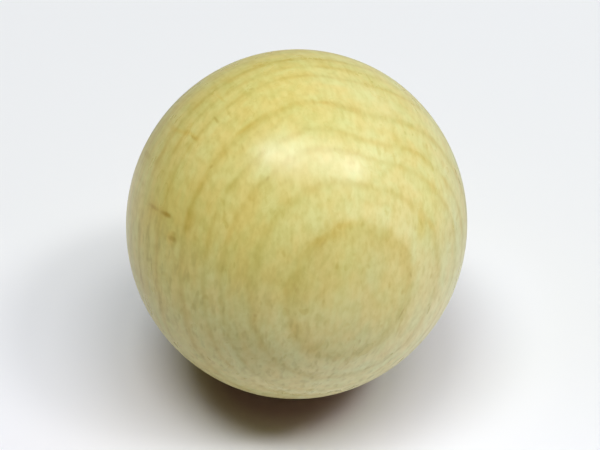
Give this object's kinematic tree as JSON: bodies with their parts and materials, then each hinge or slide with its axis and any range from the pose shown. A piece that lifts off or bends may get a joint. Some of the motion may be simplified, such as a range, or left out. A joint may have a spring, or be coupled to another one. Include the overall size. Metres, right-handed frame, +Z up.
{
  "type": "wooden ball",
  "caption": "Solid wooden ball turned in one piece from a pale, close-grained hardwood, with a satin clear finish.",
  "frame": {"origin": "centre of the ball", "axes": "+Z up as the ball lies; +Y away from the viewer; +X to the viewer's right. The grain stands about 23 degrees off +Z, leaning back and a little to the right, and turns with the frame"},
  "size_m": [0.05, 0.05, 0.05],
  "materials": {
    "wood": "pale yellow hardwood under a satin clear coat: fine orange-brown growth rings, short ray flecks and end-grain pores"
  },
  "bodies": {
    "root": {"ball": "wood"}
  },
  "joints": []
}
